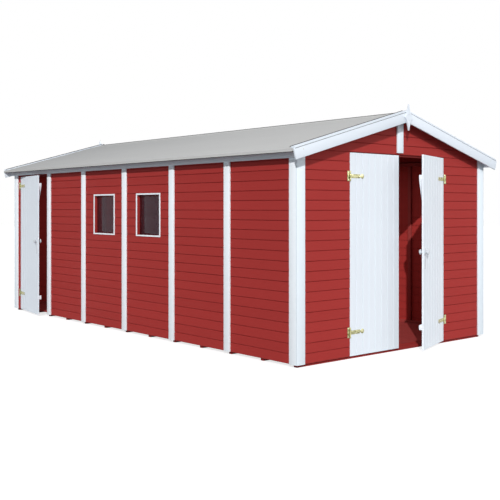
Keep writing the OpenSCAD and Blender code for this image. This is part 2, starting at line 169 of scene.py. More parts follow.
def block(name: str, low: Vector, high: Vector) -> Piece:
    """Add a cube that fills the space between two corners.

    Args:
        name: Name of the new object.
        low: The lowest corner.
        high: The highest corner.

    Returns:
        The new object, with its place and size in its mesh.
    """
    bpy.ops.mesh.primitive_cube_add(size=1, location=(low + high) / 2)
    obj = bpy.context.active_object
    obj.name = name
    obj.scale = high - low
    bpy.ops.object.transform_apply()
    return obj


def place(obj: Piece, matrix: Matrix) -> Piece:
    """Move an object by a matrix and leave the result in its mesh.

    Args:
        obj: The object, which sits at the origin.
        matrix: The move, a mirror among them.

    Returns:
        The same object, with its faces turned outwards again after a mirror.
    """
    obj.matrix_world = matrix
    only(obj)
    bpy.ops.object.transform_apply()
    if matrix.determinant() < 0:
        with editing(obj, "SELECT"):
            bpy.ops.mesh.normals_make_consistent(inside=False)
    return obj


def copy_of(obj: Piece, matrix: Matrix) -> Piece:
    """Copy an object with its own mesh, moved by a matrix.

    Args:
        obj: The object.
        matrix: The move.

    Returns:
        The copy.
    """
    twin = obj.copy()
    twin.data = obj.data.copy()
    bpy.context.scene.collection.objects.link(twin)
    return place(twin, matrix)


def join(parts: Sequence[Piece], name: str) -> Piece:
    """Join objects into one under a new name.

    Args:
        parts: The objects.
        name: The new name.

    Returns:
        The first of them, which holds the rest.
    """
    only(parts[0])
    for part in parts[1:]:
        part.select_set(True)
    if len(parts) > 1:
        bpy.ops.object.join()
    parts[0].name = name
    return parts[0]


def modify(obj: Piece, kind: str, **settings: object) -> None:
    """Apply a modifier.

    Args:
        obj: The object.
        kind: The kind of modifier.
        settings: Its settings, by name.
    """
    only(obj)
    modifier = obj.modifiers.new(kind, kind)
    for key, value in settings.items():
        setattr(modifier, key, value)
    bpy.ops.object.modifier_apply(modifier=modifier.name)


def bevel(obj: Piece, width: float, segments: int = 2) -> None:
    """Round every sharp edge of an object to a width."""
    sharp = math.radians(35)
    modify(obj, "BEVEL", width=width, segments=segments, limit_method="ANGLE", angle_limit=sharp)
    bpy.ops.object.shade_smooth_by_angle(angle=sharp)


def repeat(obj: Piece, count: int, step: Vector) -> None:
    """Repeat an object in a row.

    Args:
        obj: The object.
        count: How many there are in all.
        step: From one to the next.
    """
    if count > 1:
        modify(
            obj, "ARRAY", count=count, use_relative_offset=False,
            use_constant_offset=True, constant_offset_displace=step,
        )


def saw(obj: Piece, point: Vector, outward: Vector) -> None:
    """Cut off what lies beyond a plane and close the cut, with every face outwards.

    Args:
        obj: The object.
        point: A point of the plane.
        outward: The way to what is cut off.
    """
    with editing(obj, "SELECT"):
        bpy.ops.mesh.bisect(plane_co=point, plane_no=outward, use_fill=True, clear_outer=True)
        bpy.ops.mesh.select_all(action="SELECT")
        bpy.ops.mesh.normals_make_consistent(inside=False)


def solids(node: str, inverse: Matrix = Matrix.Identity(4)) -> list[Solid]:
    """Measure each separate solid of a construction node.

    Args:
        node: Name of the node.
        inverse: Moves the points first, such as into a door's own frame.

    Returns:
        The lowest and highest corner of each solid, ordered by place.
    """
    mesh = bmesh.new()
    mesh.from_mesh(frame["nodes"][node].data)
    bmesh.ops.remove_doubles(mesh, verts=mesh.verts[:], dist=EPS / 10)
    found: list[Solid] = []
    seen: set[bmesh.types.BMVert] = set()
    for start in mesh.verts:
        if start in seen:
            continue
        seen.add(start)
        island = [start]
        for vert in island:
            near = {edge.other_vert(vert) for edge in vert.link_edges} - seen
            seen |= near
            island.extend(near)
        places = [inverse @ vert.co for vert in island]
        low, high = (Vector([pick(p[i] for p in places) for i in range(3)]) for pick in (min, max))
        found.append((low, high))
    mesh.free()
    return sorted(found, key=lambda s: tuple(round(value, 4) for value in s[0]))


def shape_of(node: str, name: str) -> Piece:
    """Copy a construction node under a new name and merge its faces.

    Args:
        node: The node.
        name: Name of the copy.

    Returns:
        The copy, whose flat faces are whole.
    """
    obj = frame["nodes"][node].copy()
    obj.data = obj.data.copy()
    obj.parent = None
    obj.name = name
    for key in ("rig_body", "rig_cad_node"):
        del obj[key]
    bpy.context.scene.collection.objects.link(obj)
    with editing(obj, "SELECT"):
        bpy.ops.mesh.customdata_custom_splitnormals_clear()
        bpy.ops.mesh.remove_doubles(threshold=EPS / 10)
        bpy.ops.mesh.dissolve_limited(angle_limit=math.radians(1))
    return obj


def timber_of(node: str, name: str, rounding: float = 0.002) -> Piece:
    """Copy a construction node whose shape is right and round its edges."""
    obj = shape_of(node, name)
    bevel(obj, rounding)
    return obj


# ---- Finishes ----


class Grain(Enum):
    """The way that the grain runs, as how fast its pattern changes along X, Y and Z."""

    ALONG_X = (3.0, 60.0, 60.0)
    ALONG_Y = (60.0, 3.0, 60.0)
    UPRIGHT = (60.0, 60.0, 3.0)


def fill(node: bpy.types.Node, **values: object) -> None:
    """Set plain sockets of a node, with _ for a space in each name."""
    for key, value in values.items():
        node.inputs[key.replace("_", " ")].default_value = value


class Graph:
    """The shader nodes of a material or of the world, with a short call for what repeats."""

    def __init__(self, owner: bpy.types.Material | bpy.types.World) -> None:
        """Start with no nodes."""
        owner.use_nodes = True
        self.tree = owner.node_tree
        self.tree.nodes.clear()

    def add(self, kind: str, **values: object) -> bpy.types.Node:
        """Add a node and set its properties."""
        node = self.tree.nodes.new(kind)
        for key, value in values.items():
            setattr(node, key, value)
        return node

    def shade(self, kind: str, **values: object) -> Socket:
        """Add a shader with plain sockets."""
        node = self.add(kind)
        fill(node, **values)
        return node.outputs[0]

    def link(self, source: Socket, target: Socket) -> None:
        """Join two sockets."""
        self.tree.links.new(source, target)

    def sum(self, operation: str, first: object, second: object) -> Socket:
        """Add a Math node.

        Args:
            operation: What it does.
            first: Its first socket or number.
            second: Its second socket or number.

        Returns:
            The result's socket.
        """
        node = self.add("ShaderNodeMath", operation=operation)
        for socket, value in zip(node.inputs, (first, second)):
            if isinstance(value, Socket):
                self.link(value, socket)
            else:
                socket.default_value = value
        return node.outputs["Value"]

    def split(self, light: Socket, shown: Socket, output: str) -> None:
        """Light with one shader and show another to camera, glossy and transmission rays.

        Args:
            light: The shader that lights the shed.
            shown: The shader that is seen.
            output: The kind of output node.
        """
        path = self.add("ShaderNodeLightPath")
        seen = path.outputs["Is Camera Ray"]
        for name in ("Is Glossy Ray", "Is Transmission Ray"):
            seen = self.sum("MAXIMUM", seen, path.outputs[name])
        mix = self.add("ShaderNodeMixShader")
        for source, socket in zip((seen, light, shown), mix.inputs):
            self.link(source, socket)
        self.link(mix.outputs[0], self.add(output).inputs["Surface"])


class Tree(Graph):
    """A material round a Principled shader, patterned on object coordinates."""

    def __init__(self, name: str) -> None:
        """Start with only the shader and its output."""
        self.material = bpy.data.materials.new(name)
        super().__init__(self.material)
        self.shader = self.add("ShaderNodeBsdfPrincipled")
        output = self.add("ShaderNodeOutputMaterial")
        self.link(self.shader.outputs["BSDF"], output.inputs["Surface"])
        self.place = self.add("ShaderNodeTexCoord").outputs["Object"]

    def set(self, **values: object) -> None:
        """Set plain sockets of the shader."""
        fill(self.shader, **values)

    def noise(
        self, scale: float, detail: float = 4.0, stretch: Colour = (1, 1, 1), warp: float = 0.0
    ) -> Socket:
        """Add noise on object coordinates.

        Args:
            scale: How fine the noise is.
            detail: Number of finer layers in it.
            stretch: Scale along X, Y and Z.
            warp: Distortion of the pattern.

        Returns:
            The noise's value, about 0 to 1.
        """
        mapping = self.add("ShaderNodeMapping")
        fill(mapping, Scale=stretch)
        self.link(self.place, mapping.inputs["Vector"])
        noise = self.add("ShaderNodeTexNoise")
        fill(noise, Scale=scale, Detail=detail, Distortion=warp)
        self.link(mapping.outputs["Vector"], noise.inputs["Vector"])
        return noise.outputs["Fac"]

    def spread(self, value: Socket, low: float = 0.0, high: float = 1.0) -> Socket:
        """Map a noise value between 0.3 and 0.7 onto a range, held at its ends.

        Args:
            value: The noise value.
            low: The range at 0.3.
            high: The range at 0.7.

        Returns:
            The mapped value.
        """
        node = self.add("ShaderNodeMapRange")
        fill(node, From_Min=0.3, From_Max=0.7, To_Min=low, To_Max=high)
        self.link(value, node.inputs["Value"])
        return node.outputs["Result"]

    def mix(self, first: Socket, second: Socket, share: float) -> Socket:
        """Add up two values, the first at its share and the second at the rest."""
        rest = self.sum("MULTIPLY", second, 1 - share)
        return self.sum("ADD", self.sum("MULTIPLY", first, share), rest)

    def tint(self, value: Socket, dark: Colour, light: Colour) -> None:
        """Drive the base colour from dark to light by a value from 0 to 1.

        Args:
            value: The value.
            dark: The colour at 0.
            light: The colour at 1.
        """
        node = self.add("ShaderNodeMix", data_type="RGBA")
        colours = [s for s in node.inputs if s.type == "RGBA"]
        colours[0].default_value = (*dark, 1)
        colours[1].default_value = (*light, 1)
        self.link(value, node.inputs["Factor"])
        result = next(s for s in node.outputs if s.type == "RGBA")
        self.link(result, self.shader.inputs["Base Color"])

    def rough(self, value: Socket, low: float, high: float) -> None:
        """Drive the roughness by a noise value."""
        self.link(self.spread(value, low, high), self.shader.inputs["Roughness"])

    def bump(self, height: Socket, depth: float, strength: float = 1.0) -> None:
        """Raise the surface by a height pattern of the given depth in metres.

        Args:
            height: The pattern.
            depth: Its depth.
            strength: How much of it shows.
        """
        node = self.add("ShaderNodeBump")
        fill(node, Strength=strength, Distance=depth)
        self.link(height, node.inputs["Height"])
        self.link(node.outputs["Normal"], self.shader.inputs["Normal"])


def shade(colour: Colour, factor: float) -> Colour:
    """Scale a colour, held at white."""
    return tuple(min(1.0, value * factor) for value in colour)


@dataclass(frozen=True)
class WoodPaint:
    """Stain or paint over planed softwood: grain, tone from board to board and a soft sheen."""

    name: str
    colour: Colour
    grain: Grain
    tone: float = 0.05
    boards: tuple[Vector, float, float] | None = None
    roughness: float = 0.55
    grain_depth: float = 0.0004

    def material(self) -> bpy.types.Material:
        """Build the material.

        Returns:
            Paint whose tone follows the grain, broad drifts and, where boards says so, each
            board: the way they are stacked, the first board's start and their cover.
        """
        tree = Tree(self.name)
        grain = tree.noise(1.0, 7.0, self.grain.value, 0.6)
        drift = tree.noise(1.7, 2.0)
        tone = tree.spread(tree.mix(grain, drift, 0.5))
        if self.boards is not None:
            stack, start, cover = self.boards
            across = tree.add("ShaderNodeVectorMath", operation="DOT_PRODUCT")
            tree.link(tree.place, across.inputs[0])
            across.inputs[1].default_value = stack
            count = tree.sum("DIVIDE", tree.sum("SUBTRACT", across.outputs["Value"], start), cover)
            chance = tree.add("ShaderNodeTexWhiteNoise", noise_dimensions="1D")
            tree.link(tree.sum("FLOOR", count, 0.0), chance.inputs["W"])
            tone = tree.mix(tone, chance.outputs["Value"], 0.55)
        tree.tint(tone, shade(self.colour, 1 - self.tone), shade(self.colour, 1 + self.tone))
        tree.rough(grain, self.roughness - 0.06, self.roughness + 0.08)
        tree.set(Specular_IOR_Level=0.06)
        tree.bump(grain, self.grain_depth, 0.6)
        return tree.material


@dataclass(frozen=True)
class Felt:
    """Mineral roofing felt: granules on a bituminous base; near black, it paints shade in dark
    strips.
    """

    name: str
    colour: Colour

    def material(self) -> bpy.types.Material:
        """Build the material.

        Returns:
            The material.
        """
        tree = Tree(self.name)
        granules = tree.noise(520.0, 3.0)
        drift = tree.noise(2.3, 3.0, (0.5, 2.0, 1.0))
        tone = tree.spread(tree.mix(granules, drift, 0.8))
        tree.tint(tone, shade(self.colour, 0.94), shade(self.colour, 1.06))
        tree.set(Roughness=1.0, Specular_IOR_Level=0.02)
        tree.bump(granules, 0.0003, 0.25)
        return tree.material


@dataclass(frozen=True)
class PlatedSteel:
    """Pressed steel with a yellow passivated zinc plating, or bright zinc."""

    name: str
    bright: Colour
    dull: Colour
    roughness: float = 0.36

    def material(self) -> bpy.types.Material:
        """Build the material, whose plating clouds from one tint to the other.

        Returns:
            The material.
        """
        tree = Tree(self.name)
        clouds = tree.noise(28.0, 5.0, warp=1.2)
        rolled = tree.noise(1.0, 3.0, (90.0, 90.0, 700.0))
        tree.tint(tree.spread(clouds), self.dull, self.bright)
        tree.rough(clouds, self.roughness + 0.12, self.roughness - 0.06)
        tree.set(Metallic=0.85)
        tree.bump(rolled, 0.00015, 0.5)
        return tree.material


@dataclass(frozen=True)
class PowderCoat:
    """White powder coating with a fine orange peel, mixed grey as painted shade so that the knob's
    sunlit side matches the leaf.
    """

    # Grey rather than white: painted shade, so that the lit knob matches the leaf.
    colour: Colour = (0.66, 0.70, 0.74)

    def material(self) -> bpy.types.Material:
        """Build the material.

        Returns:
            The material.
        """
        tree = Tree("powder_coat")
        peel = tree.noise(640.0, 2.0)
        worn = tree.noise(60.0, 4.0)
        tree.tint(tree.spread(worn), shade(self.colour, 0.94), self.colour)
        tree.set(Roughness=0.3, Specular_IOR_Level=0.5, Coat_Weight=0.2)
        tree.bump(peel, 0.0001, 0.4)
        return tree.material


@dataclass(frozen=True)
class Pane:
    """A clear pane, near black at part cover as painted shade of the room behind, that shows some
    of what is behind it.
    """

    # Near black at part cover: painted shade of the room behind the pane.
    colour: Colour = (0.014, 0.011, 0.018)
    sheen: Colour = (0.88, 0.80, 1.0)
    alpha: float = 0.42

    def material(self) -> bpy.types.Material:
        """Build the material, with the faint waviness of cheap glass.

        Returns:
            The material.
        """
        tree = Tree("window_pane")
        smears = tree.noise(7.0, 3.0, (1.0, 1.0, 0.4))
        tree.rough(smears, 0.03, 0.1)
        tree.set(
            Base_Color=(*self.colour, 1), Alpha=self.alpha, IOR=1.5,
            Specular_IOR_Level=0.45, Specular_Tint=(*self.sheen, 1),
        )
        tree.bump(smears, 0.0004, 0.2)
        return tree.material


RED: Colour = (0.368, 0.036, 0.032)
# Painted shade: a darker, duller copy of the red for the timbers and the floor inside, for the
# shade in the shed.
SHADED_INNER_RED: Colour = (0.30, 0.045, 0.041)
WHITE: Colour = (0.83, 0.90, 0.95)
# Painted light: the window side's trims and beads take a brighter copy of the white than the
# gable's, for the light on that side.
SIDE_LIT_WHITE: Colour = (0.91, 0.95, 0.985)
DOOR_WHITE: Colour = (0.81, 0.85, 0.90)
# Painted light: a brighter copy of the door white for the ajar right leaf, whose turned face gets
# less light.
AJAR_LIT_WHITE: Colour = (0.88, 0.92, 0.965)
RAKE_WHITE: Colour = (0.80, 0.845, 0.905)


@dataclass
class Paints:
    """The materials of the shed, each made once."""

    base: float
    cover: float
    made: dict[str, bpy.types.Material] = field(default_factory=dict)

    def __post_init__(self) -> None:
        """Make every material."""
        courses = (UP, self.base, self.cover)
        finishes = [
            WoodPaint("side_cladding", RED, Grain.ALONG_X, 0.05, courses),
            WoodPaint("gable_cladding", RED, Grain.ALONG_Y, 0.05, courses),
            WoodPaint("frame_timber", SHADED_INNER_RED, Grain.UPRIGHT, 0.08, roughness=0.62),
            WoodPaint("long_timber", SHADED_INNER_RED, Grain.ALONG_X, 0.08, roughness=0.62),
            WoodPaint("window_lining", RED, Grain.UPRIGHT, 0.05),
            # Painted shade: the joists and sills take a darker copy of the red, for the shade low
            # under the floor.
            WoodPaint("joist_timber", shade(RED, 0.85), Grain.ALONG_Y, 0.08, roughness=0.62),
            WoodPaint("roof_underside", SHADED_INNER_RED, Grain.ALONG_Y, 0.08, (ALONG_X, 0.0, DECK), 0.62),
            WoodPaint("floor_stain", SHADED_INNER_RED, Grain.ALONG_X, 0.1, (ALONG_Y, 0.0, DECK), 0.62),
            WoodPaint("white_upright", WHITE, Grain.UPRIGHT, 0.02, roughness=0.5),
            WoodPaint("white_side", SIDE_LIT_WHITE, Grain.UPRIGHT, 0.02, roughness=0.5),
            WoodPaint("white_along", WHITE, Grain.ALONG_X, 0.02, roughness=0.5),
            WoodPaint("white_rake", RAKE_WHITE, Grain.ALONG_Y, 0.02, roughness=0.5),
            WoodPaint("white_leaf", DOOR_WHITE, Grain.UPRIGHT, 0.02, roughness=0.5),
            WoodPaint("fresh_leaf", AJAR_LIT_WHITE, Grain.UPRIGHT, 0.02, roughness=0.5),
        ]
        named = {
            "felt": Felt("roofing_felt", (0.56, 0.55, 0.535)),
            # Near black: painted shade, for the dark strips under the eaves and along the caps.
            "bitumen": Felt("bitumen_edge", (0.035, 0.035, 0.03)),
            "zinc": PlatedSteel("yellow_zinc", (0.74, 0.71, 0.40), (0.12, 0.12, 0.03), 0.3),
            "screw": PlatedSteel("screw_zinc", (0.75, 0.73, 0.66), (0.5, 0.47, 0.38), 0.28),
            "coat": PowderCoat(),
            "pane": Pane(),
        }
        named |= {finish.name: finish for finish in finishes}
        self.made = {name: finish.material() for name, finish in named.items()}

    def fit(
        self, obj: Piece, finish: str, slot: str, nodes: Sequence[str] = (), body: str = BODY
    ) -> None:
        """Dress a finished piece and fix it to its body in place of construction nodes.

        Args:
            obj: The finished piece.
            finish: Name of its material.
            slot: The record's material slot; not used.
            nodes: The nodes it stands for, if any.
            body: The body it rides on.
        """
        obj.data.materials.clear()
        obj.data.materials.append(self.made[finish])
        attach(obj, body)
        if nodes:
            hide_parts(*nodes)
        log.info("%s: %d faces on %s", obj.name, len(obj.data.polygons), body)


# ---- Boards ----


@dataclass
class TonguedBoards:
    """Boards side by side, each tongued into the next, with a chamfered joint on the face."""

    cover: float = 0.096
    gap: float = 0.004
    chamfer: float = 0.003
    tongue: float = 0.0078
    groove: float = 0.006
    shoulder: float = 0.006

    def board(
        self, name: str, low: Vector, high: Vector, out: Vector, stack: Vector
    ) -> Piece:
        """Shape one board.

        Args:
            name: Name of the object.
            low: The board's lowest corner, without its tongue.
            high: The board's highest corner, without its tongue.
            out: The way that its chamfered face looks.
            stack: The way from one board to the next.

        Returns:
            The board, with a tongue on the stack side and a groove on the other.
        """
        obj = block(name, low, high)
        face = max(low.dot(out), high.dot(out))
        run = out.cross(stack)

        def on_face(edge: bmesh.types.BMEdge) -> bool:
            """Whether an edge runs along the board's face."""
            first, last = (vert.co for vert in edge.verts)
            along = abs((last - first).normalized().dot(run)) > 0.99
            return along and abs(first.dot(out) - face) < EPS

        with editing(obj):
            pick(obj, Part.EDGE, on_face)
            bpy.ops.mesh.bevel(offset=self.chamfer, segments=1, affect="EDGES")
            pick(obj, Part.FACE, lambda side: side.normal.dot(stack) > 0.99)
            bpy.ops.mesh.inset(thickness=self.shoulder)
            extrude(stack * self.tongue)
            pick(obj, Part.FACE, lambda side: side.normal.dot(stack) < -0.99)
            bpy.ops.mesh.inset(thickness=self.shoulder - self.gap / 8)
            extrude(stack * self.groove)
        return obj

    def panel(
        self, name: str, low: Vector, high: Vector, out: Vector, stack: Vector, start: float
    ) -> Piece:
        """Cover a box with boards.

        Args:
            name: Name of the object.
            low: The box's lowest corner.
            high: The box's highest corner.
            out: The way that the face looks.
            stack: The way from one board to the next, along an axis.
            start: Where a board begins along the stack, from which the joints are counted.

        Returns:
            The boards as one object, cut to the box.
        """
        first = math.floor((low.dot(stack) - start) / self.cover + 0.05)
        last = math.ceil((high.dot(stack) - start) / self.cover - 0.01)
        flat = Vector((1, 1, 1)) - stack
        begin = low * flat + stack * (start + first * self.cover)
        end = high * flat + stack * (start + (first + 1) * self.cover - self.gap)
        obj = self.board(name, begin, end, out, stack)
        repeat(obj, last - first, stack * self.cover)
        saw(obj, high, stack)
        if begin.dot(stack) < low.dot(stack) - EPS:
            saw(obj, low, -stack)
        return obj


# ---- Roof geometry, read from the construction ----


@dataclass
class RoofForm:
    """The two slopes of the roof, measured on the roof boards of the window side."""

    under_eave: float = 0.0
    under_ridge: float = 0.0
    board_rise: float = 0.0
    half_width: float = 0.0
    end: float = 0.0

    def __post_init__(self) -> None:
        """Read the outline from the roof boards' own corners."""
        points = [vert.co for vert in frame["nodes"]["window_side_roof_boards"].data.vertices]
        low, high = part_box("window_side_roof_boards")
        eave = sorted(p.z for p in points if abs(p.y - low.y) < EPS)
        ridge = sorted(p.z for p in points if abs(p.y - high.y) < EPS)
        self.under_eave, self.under_ridge = eave[0], ridge[0]
        self.board_rise = eave[-1] - eave[0]
        self.half_width = -low.y
        self.end = high.x

    @property
    def pitch(self) -> float:
        """Pitch of the slopes in radians."""
        return math.atan2(self.under_ridge - self.under_eave, self.half_width)

    def under(self, y: float) -> float:
        """Height of the roof boards' underside at a distance y from the middle."""
        return self.under_ridge - abs(y) * math.tan(self.pitch)

    def cut(self, obj: Piece, drop: float = 0.0) -> None:
        """Cut a piece off under both slopes, lowered by drop."""
        for side in (-1, 1):
            outward = Vector((0, side * math.sin(self.pitch), math.cos(self.pitch)))
            saw(obj, Vector((0, 0, self.under_ridge - drop)), outward)

    def slope(self, side: int, above: float = 0.0) -> Matrix:
        """Matrix from a flat layer, with Y down the slope from the ridge, to one slope.

        Args:
            side: -1 for the window side, 1 for the other.
            above: Height of the layer over the roof boards' underside, square to the slope.

        Returns:
            The turn and shift, without a mirror.
        """
        turn = Euler((-self.pitch, 0, 0 if side > 0 else math.pi), "XYZ").to_matrix().to_4x4()
        lift = above / math.cos(self.pitch)
        return Matrix.Translation((0, 0, self.under_ridge + lift)) @ turn


# ---- Sub-assemblies ----


@dataclass
class Walls:
    """The boarded walls, one piece for each construction node."""

    paints: Paints
    roof: RoofForm
    boards: TonguedBoards

    def build(self) -> None:
        """Board the long walls and the gables."""
        window_side = (
            "window_side_front_panels", "front_window_panel", "rear_window_panel",
            "window_side_rear_panel", "side_door_panel", "side_door_lintel",
        )
        for node in window_side:
            self.board_wall(node, f"{node}_boards", -ALONG_Y, "side_cladding")
        self.board_wall("back_side_panels", "back_side_boards", ALONG_Y, "side_cladding")
        for node in ("front_wall_left", "front_wall_right", "front_gable", "rear_wall"):
            out = -ALONG_X if node == "rear_wall" else ALONG_X
            self.board_wall(node, f"{node}_boards", out, "gable_cladding")

    def board_wall(self, node: str, name: str, out: Vector, finish: str) -> None:
        """Board every solid of a node, and cut the gables to the roof.

        Args:
            node: The construction node.
            name: Name of the piece.
            out: The way that the wall looks.
            finish: Name of its material.
        """
        panels = [
            self.boards.panel(node, low, high, out, UP, self.paints.base)
            for low, high in solids(node)
        ]
        obj = join(panels, name)
        if node in ("front_gable", "rear_wall"):
            self.roof.cut(obj)
        self.paints.fit(obj, finish, "red_boards", [node])


@dataclass
class Timbers:
    """Floor, joists and the frames of the walls and the roof."""

    paints: Paints

    def build(self) -> None:
        """Shape the frames from the construction and lay the floor boards."""
        frames = {
            "floor_joists": ("joists", "joist_timber", "red_floor"),
            "door_sills": ("doorway_sills", "joist_timber", "red_floor"),
            "front_frame": ("front_studs", "frame_timber", "red_frame"),
            "rear_frame": ("rear_studs", "frame_timber", "red_frame"),
            "window_side_frame": ("window_side_studs", "frame_timber", "red_frame"),
            "back_side_frame": ("back_side_studs", "frame_timber", "red_frame"),
            "roof_purlins": ("purlins", "long_timber", "red_frame"),
        }
        for node, (name, finish, slot) in frames.items():
            self.paints.fit(timber_of(node, name), finish, slot, [node])
        low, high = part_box("floor_deck")
        boards = TonguedBoards(cover=DECK, gap=0.002, chamfer=0.0015, shoulder=0.005)
        floor = boards.panel("floor_boards", low, high, UP, ALONG_Y, 0.0)
        self.paints.fit(floor, "floor_stain", "red_floor", ["floor_deck"])


@dataclass
class Trim:
    """White boards over the corners and the panel joints, and what runs along the eaves."""

    paints: Paints
    strip_setback: float = 0.003
    strip_height: float = 0.008
    rounding: float = 0.0015

    def build(self) -> None:
        """Round the trim boards' edges and paint them."""
        uprights = {
            "gable_corner_trims": "gable_corner_boards",
            "side_corner_trims": "side_corner_boards",
            "window_side_battens": "window_side_cover_boards",
            "back_side_battens": "back_side_cover_boards",
            "gable_battens": "gable_cover_boards",
        }
        for node, name in uprights.items():
            # Trims on the window side take the brighter copy of the white, which is painted light.
            finish = "white_upright" if node.startswith("gable") else "white_side"
            self.paints.fit(timber_of(node, name), finish, "white_trim", [node])
        self.build_eaves()

    def build_eaves(self) -> None:
        """Make the eave boards, and near-black strips a little behind the edge of the felt that
        paint the shade under it.
        """
        edge = max(high.y for _, high in solids("eave_boards"))
        boards = []
        strips = []
        for low, high in solids("eave_boards"):
            outer = max(high.y, -low.y) > edge - EPS
            if outer:
                low.z = high.z - self.strip_height
            if outer and high.y > 0:
                high.y -= self.strip_setback
            elif outer:
                low.y += self.strip_setback
            part = block("eave_part", low, high)
            bevel(part, self.rounding)
            (strips if outer else boards).append(part)
        obj = join(boards, "eave_boarding")
        self.paints.fit(obj, "white_along", "white_trim", ["eave_boards"])
        # The strips paint the shade where the roof's edge shades the top of the eave boards.
        self.paints.fit(join(strips, "drip_strips"), "bitumen", "roof_felt")


@dataclass
class Screws:
    """Countersunk screws with a cross recess."""

    radius: float = 0.0045
    height: float = 0.0016

    def head(self) -> Piece:
        """Shape one head at the origin, facing +Z.

        Returns:
            The head.
        """
        bpy.ops.mesh.primitive_cylinder_add(
            vertices=14, radius=self.radius, depth=self.height, location=(0, 0, self.height / 2)
        )
        obj = bpy.context.active_object
        bpy.ops.object.transform_apply()
        with editing(obj):
            pick(obj, Part.FACE, lambda face: face.normal.z > 0.99)
            bpy.ops.mesh.bevel(offset=self.height * 0.6, segments=2, affect="EDGES")
            pick(obj, Part.FACE, lambda face: face.normal.z > 0.99)
            bpy.ops.mesh.inset(thickness=self.radius * 0.42)
            extrude(Vector((0, 0, -self.height * 0.7)))
        bpy.ops.object.shade_smooth_by_angle(angle=math.radians(35))
        return obj

    def row(
        self, name: str, places: Sequence[Vector], out: Vector, matrix: Matrix = Matrix.Identity(4)
    ) -> Piece:
        """Drive screws at several places.

        Args:
            name: Name of the joined heads.
            places: Points on the surface.
            out: The way that the heads look.
            matrix: Moves the finished row, such as onto an open door.

        Returns:
            The heads as one object.
        """
        turn = out.to_track_quat("Z", "Y").to_matrix().to_4x4()
        head = self.head()
        heads = [copy_of(head, Matrix.Translation(spot) @ turn) for spot in places[1:]]
        place(head, Matrix.Translation(places[0]) @ turn)
        return place(join([head, *heads], name), matrix)


